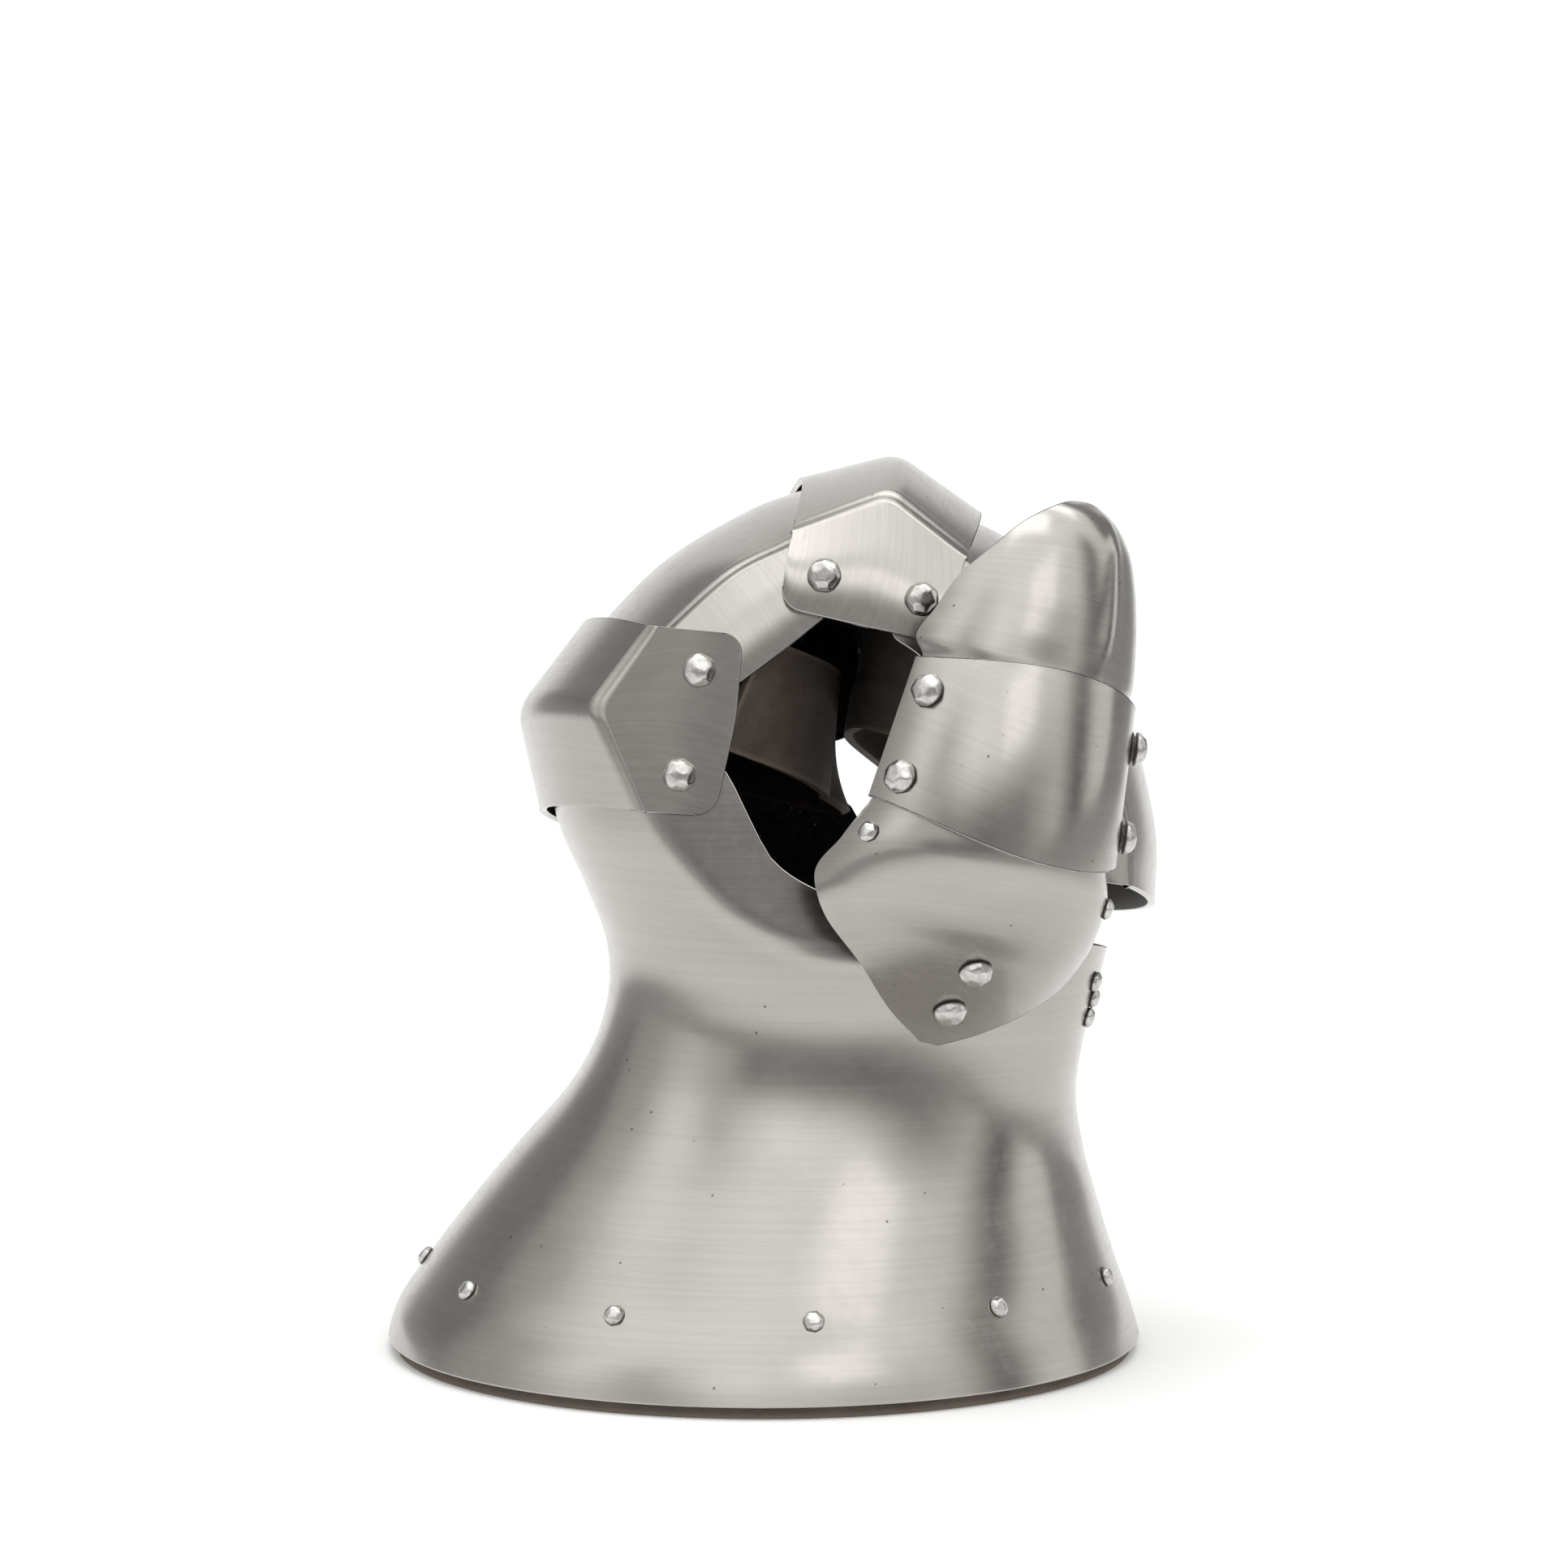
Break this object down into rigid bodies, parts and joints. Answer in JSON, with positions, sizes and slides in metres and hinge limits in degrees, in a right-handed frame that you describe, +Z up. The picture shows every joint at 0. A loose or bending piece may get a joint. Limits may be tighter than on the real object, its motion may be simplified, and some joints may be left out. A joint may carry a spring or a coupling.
{
  "type": "mitten gauntlet",
  "caption": "Left-hand hourglass mitten gauntlet of satin steel with riveted knuckle, finger and thumb plates, leather straps and a black lining, standing on its flared cuff.",
  "frame": {"origin": "middle of the whole gauntlet's footprint box, on the surface that the cuff stands on", "axes": "+Z up the arm towards the fingers, +X towards the palm, -Y towards the thumb"},
  "size_m": [0.1578, 0.159, 0.1819],
  "materials": {
    "steel": "satin, brushed along the plates, lightly worn",
    "rivet": "hammered domes, polished by wear",
    "leather": "matte dark brown",
    "lining": "black napped cloth"
  },
  "bodies": {
    "knuckle_1": {"knuckle_plate_1": "steel", "pivot_body_knuckle_1_near": "rivet", "pivot_body_knuckle_1_far": "rivet", "pivot_knuckle_1_finger_1_near": "rivet", "pivot_knuckle_1_finger_1_far": "rivet"},
    "finger_1": {"finger_plate_1": "steel", "finger_lining": "lining", "finger_flap": "lining", "hand_strap": "leather"},
    "knuckle_2": {"knuckle_plate_2": "steel", "pivot_finger_1_knuckle_2_near": "rivet", "pivot_finger_1_knuckle_2_far": "rivet", "pivot_knuckle_2_finger_2_near": "rivet", "pivot_knuckle_2_finger_2_far": "rivet"},
    "finger_2": {"finger_plate_2": "steel", "strap_rivet": "rivet", "finger_strap": "leather"},
    "gauntlet": {"thumb_base": "steel", "thumb_rivet_small_left": "rivet", "thumb_rivet_small_right": "rivet", "thumb_rivet_big_upper": "rivet", "thumb_rivet_big_lower": "rivet", "hourglass_body": "steel", "cuff_band": "leather", "hand_lining": "lining", "cuff_rivet_1": "rivet", "cuff_rivet_2": "rivet", "cuff_rivet_3": "rivet", "cuff_rivet_4": "rivet", "cuff_rivet_5": "rivet", "cuff_rivet_6": "rivet", "cuff_rivet_7": "rivet", "cuff_rivet_8": "rivet", "cuff_rivet_9": "rivet", "cuff_rivet_10": "rivet", "cuff_rivet_11": "rivet", "palm_rivet_1": "rivet", "palm_rivet_2": "rivet", "palm_rivet_3": "rivet", "thumb_hinge": "leather"},
    "thumb_mid": {"thumb_mid": "steel", "thumb_pivot_base_left": "rivet", "thumb_pivot_base_right": "rivet", "thumb_pivot_tip_left": "rivet", "thumb_pivot_tip_right": "rivet"},
    "thumb_tip": {"thumb_tip": "steel"}
  },
  "joints": [
    {"name": "knuckle_1_hinge", "type": "hinge", "parent": "gauntlet", "child": "knuckle_1", "pos_m": [-0.02252, -0.00005, 0.11376], "axis": [-0.0948, 0.9845, -0.1478], "range_deg": [-12, 2]},
    {"name": "finger_1_hinge", "type": "hinge", "parent": "knuckle_1", "child": "finger_1", "pos_m": [-0.01873, 0.00333, 0.13384], "axis": [-0.0948, 0.9845, -0.1478], "range_deg": [-18, 2]},
    {"name": "knuckle_2_hinge", "type": "hinge", "parent": "finger_1", "child": "knuckle_2", "pos_m": [0.00559, 0.00841, 0.15203], "axis": [-0.0948, 0.9845, -0.1478], "range_deg": [-18, 2]},
    {"name": "finger_2_hinge", "type": "hinge", "parent": "knuckle_2", "child": "finger_2", "pos_m": [0.02457, 0.00954, 0.14738], "axis": [-0.0948, 0.9845, -0.1478], "range_deg": [-4, 2]},
    {"name": "thumb_mid_hinge", "type": "hinge", "parent": "gauntlet", "child": "thumb_mid", "pos_m": [0.04578, -0.06041, 0.1157], "axis": [0.8532, 0.4479, -0.2672], "range_deg": [-8, 3]},
    {"name": "thumb_tip_hinge", "type": "hinge", "parent": "thumb_mid", "child": "thumb_tip", "pos_m": [0.04947, -0.05753, 0.13227], "axis": [0.8532, 0.4479, -0.2672], "range_deg": [-6, 3]}
  ]
}
